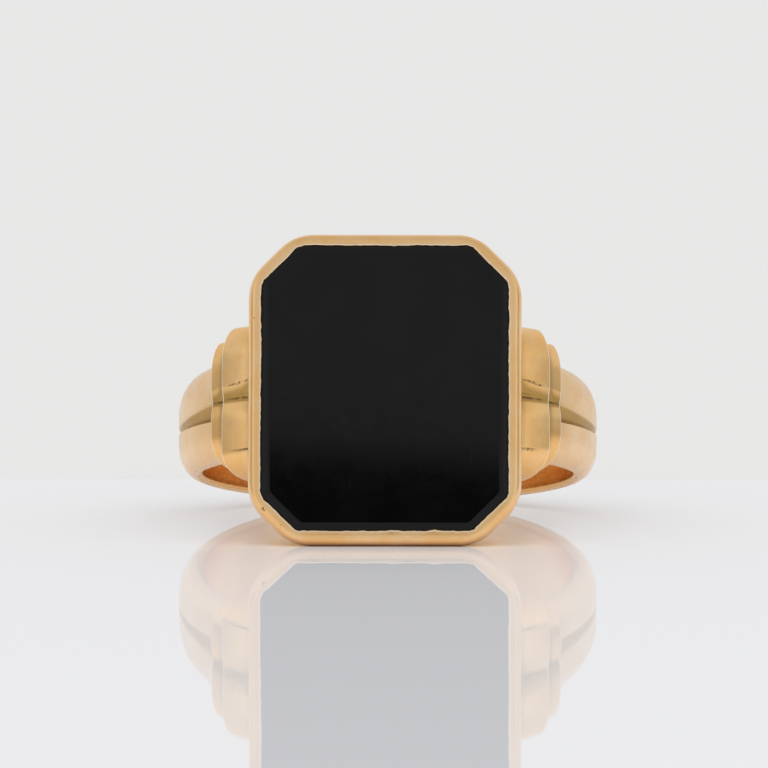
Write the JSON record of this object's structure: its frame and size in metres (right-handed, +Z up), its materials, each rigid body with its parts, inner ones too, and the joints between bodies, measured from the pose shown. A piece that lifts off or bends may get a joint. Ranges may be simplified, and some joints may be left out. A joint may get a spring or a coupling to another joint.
{
  "type": "signet ring",
  "caption": "Gold signet ring with a flat black octagonal stone in a collet, stepped shoulders and a grooved shank.",
  "frame": {"origin": "centre of the finger hole", "axes": "the ring as it lies on a table: +Z up, -Y the way the stone faces (tipped up a little), X across the head"},
  "size_m": [0.0202, 0.0236, 0.0146],
  "materials": {
    "gold": "satin",
    "onyx": "polished"
  },
  "bodies": {
    "root": {"shank": "gold", "left_outer_step": "gold", "left_inner_step": "gold", "right_outer_step": "gold", "right_inner_step": "gold", "head_base": "gold", "bezel": "gold", "bearing": "gold", "onyx": "onyx"}
  },
  "joints": []
}
